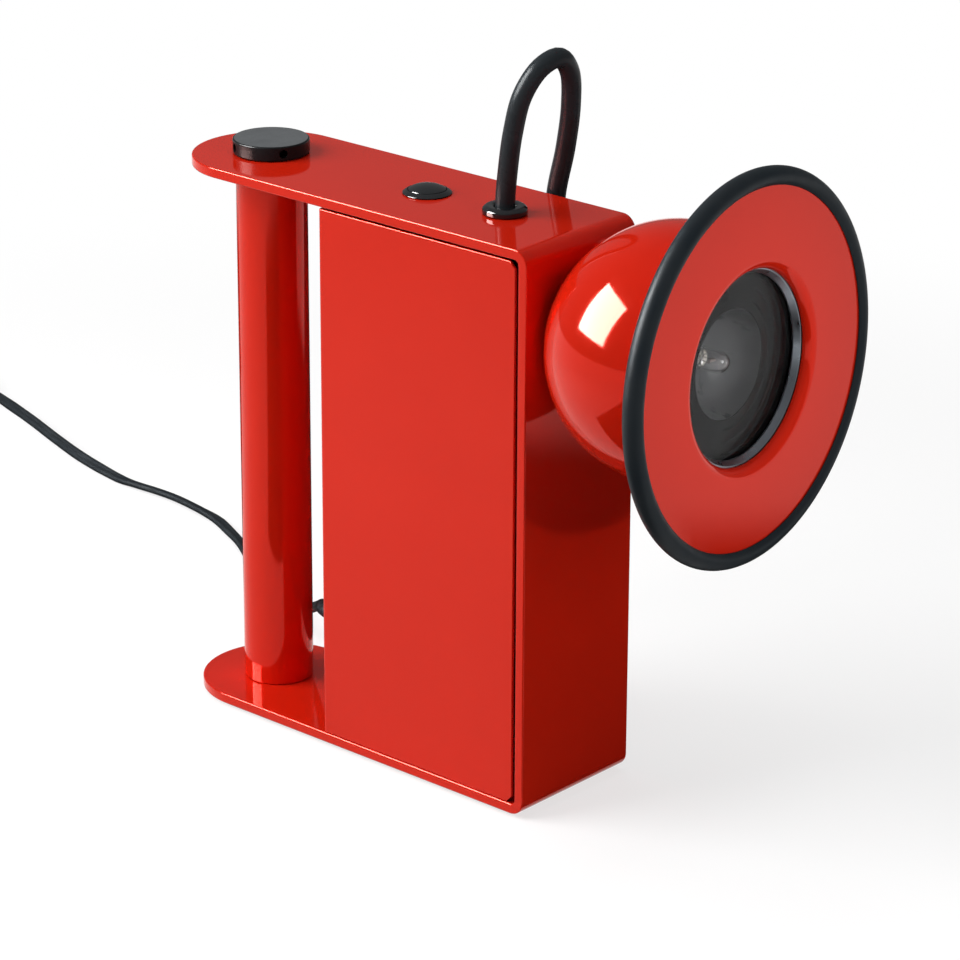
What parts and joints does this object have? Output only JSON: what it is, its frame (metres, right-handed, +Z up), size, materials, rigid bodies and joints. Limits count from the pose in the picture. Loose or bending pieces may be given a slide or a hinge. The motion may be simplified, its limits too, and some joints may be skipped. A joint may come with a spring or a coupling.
{
  "type": "table lamp",
  "caption": "Table lamp with a bent steel frame, tube handle, push button and a ball head with a wide flange, held by a ring magnet and turned by hand.",
  "frame": {"origin": "on the surface that the lamp stands on, under the middle of the frame's 211.4 mm long and 69 mm wide bottom plate", "axes": "+X runs along the frame from the handle to the head, +Y across it, +Z up"},
  "size_m": [0.7398, 0.2646, 0.3205],
  "materials": {
    "red_paint": "gloss red paint",
    "black_gloss": "gloss black",
    "black_rubber": "satin black rubber",
    "black_plastic": "satin black plastic",
    "dark_chrome": "dark polished metal",
    "steel": "plain steel",
    "core_steel": "dark laminated steel",
    "copper": "enamelled copper wire",
    "ferrite": "dull dark grey magnet",
    "ceramic": "unglazed off-white ceramic",
    "glass": "clear glass",
    "wire_plastic": "plain wire sheath"
  },
  "bodies": {
    "frame": {"frame_strip": "red_paint", "base_sole": "black_rubber", "handle_tube": "red_paint", "tube_bush_bottom": "black_plastic", "tube_bush_top": "black_plastic", "tie_rod": "steel", "cover_shell": "red_paint", "cover_screw_lower": "black_gloss", "cover_screw_upper": "black_gloss", "chassis": "steel", "base_screw_1": "steel", "base_screw_2": "steel", "base_screw_3": "steel", "base_screw_4": "steel", "transformer_core": "core_steel", "coil_bobbin": "black_plastic", "coil_winding": "copper", "transformer_strap": "steel", "strap_screw_rear": "steel", "strap_screw_front": "steel", "terminal_block": "ceramic", "mains_wire": "wire_plastic", "switch_wire": "wire_plastic", "lead_wire": "wire_plastic", "coil_wire": "wire_plastic", "switch_bezel": "black_gloss", "switch_nut": "steel", "button_spring": "steel", "switch_body": "black_plastic", "lead_gland": "black_gloss", "lead_gland_nut": "steel", "head_lead": "black_rubber", "magnet_cup": "steel", "cord_relief": "black_rubber", "relief_nut": "black_plastic", "power_cord": "black_rubber", "cord_coil": "black_rubber", "plug_sleeve": "black_rubber", "plug_body": "black_plastic", "plug_pin_1": "steel", "plug_pin_2": "steel"},
    "knob": {"capstan_knob": "black_gloss"},
    "button": {"switch_button": "black_gloss"},
    "seat": {"magnet_ring": "ferrite"},
    "head": {"ball_shell": "red_paint", "front_disc": "red_paint", "rim_trim": "black_rubber", "bezel_ring": "dark_chrome", "front_glass": "glass", "reflector": "dark_chrome", "lamp_holder": "ceramic", "halogen_bulb": "glass", "head_gland": "black_gloss", "head_gland_nut": "steel", "bulb_wire": "wire_plastic"}
  },
  "joints": [
    {"name": "knob_turn", "type": "hinge", "parent": "frame", "child": "knob", "pos_m": [-0.0712, 0, 0.255], "axis": [0, 0, 1], "range_deg": [0, 360]},
    {"name": "button_press", "type": "slide", "parent": "frame", "child": "button", "axis": [0, 0, -1], "range_m": [0, 0.0025], "stiffness_N_per_m": 400, "springref_m": -0.0015, "deforming": ["button_spring"]},
    {"name": "head_swivel", "type": "hinge", "parent": "frame", "child": "seat", "pos_m": [0.15671, 0, 0.2125], "axis": [1, 0, 0], "range_deg": [-40, 40], "deforming": ["head_lead"]},
    {"name": "head_tilt", "type": "hinge", "parent": "seat", "child": "head", "pos_m": [0.15671, 0, 0.2125], "axis": [0, 1, 0], "range_deg": [-60, 45], "deforming": ["head_lead"]}
  ]
}
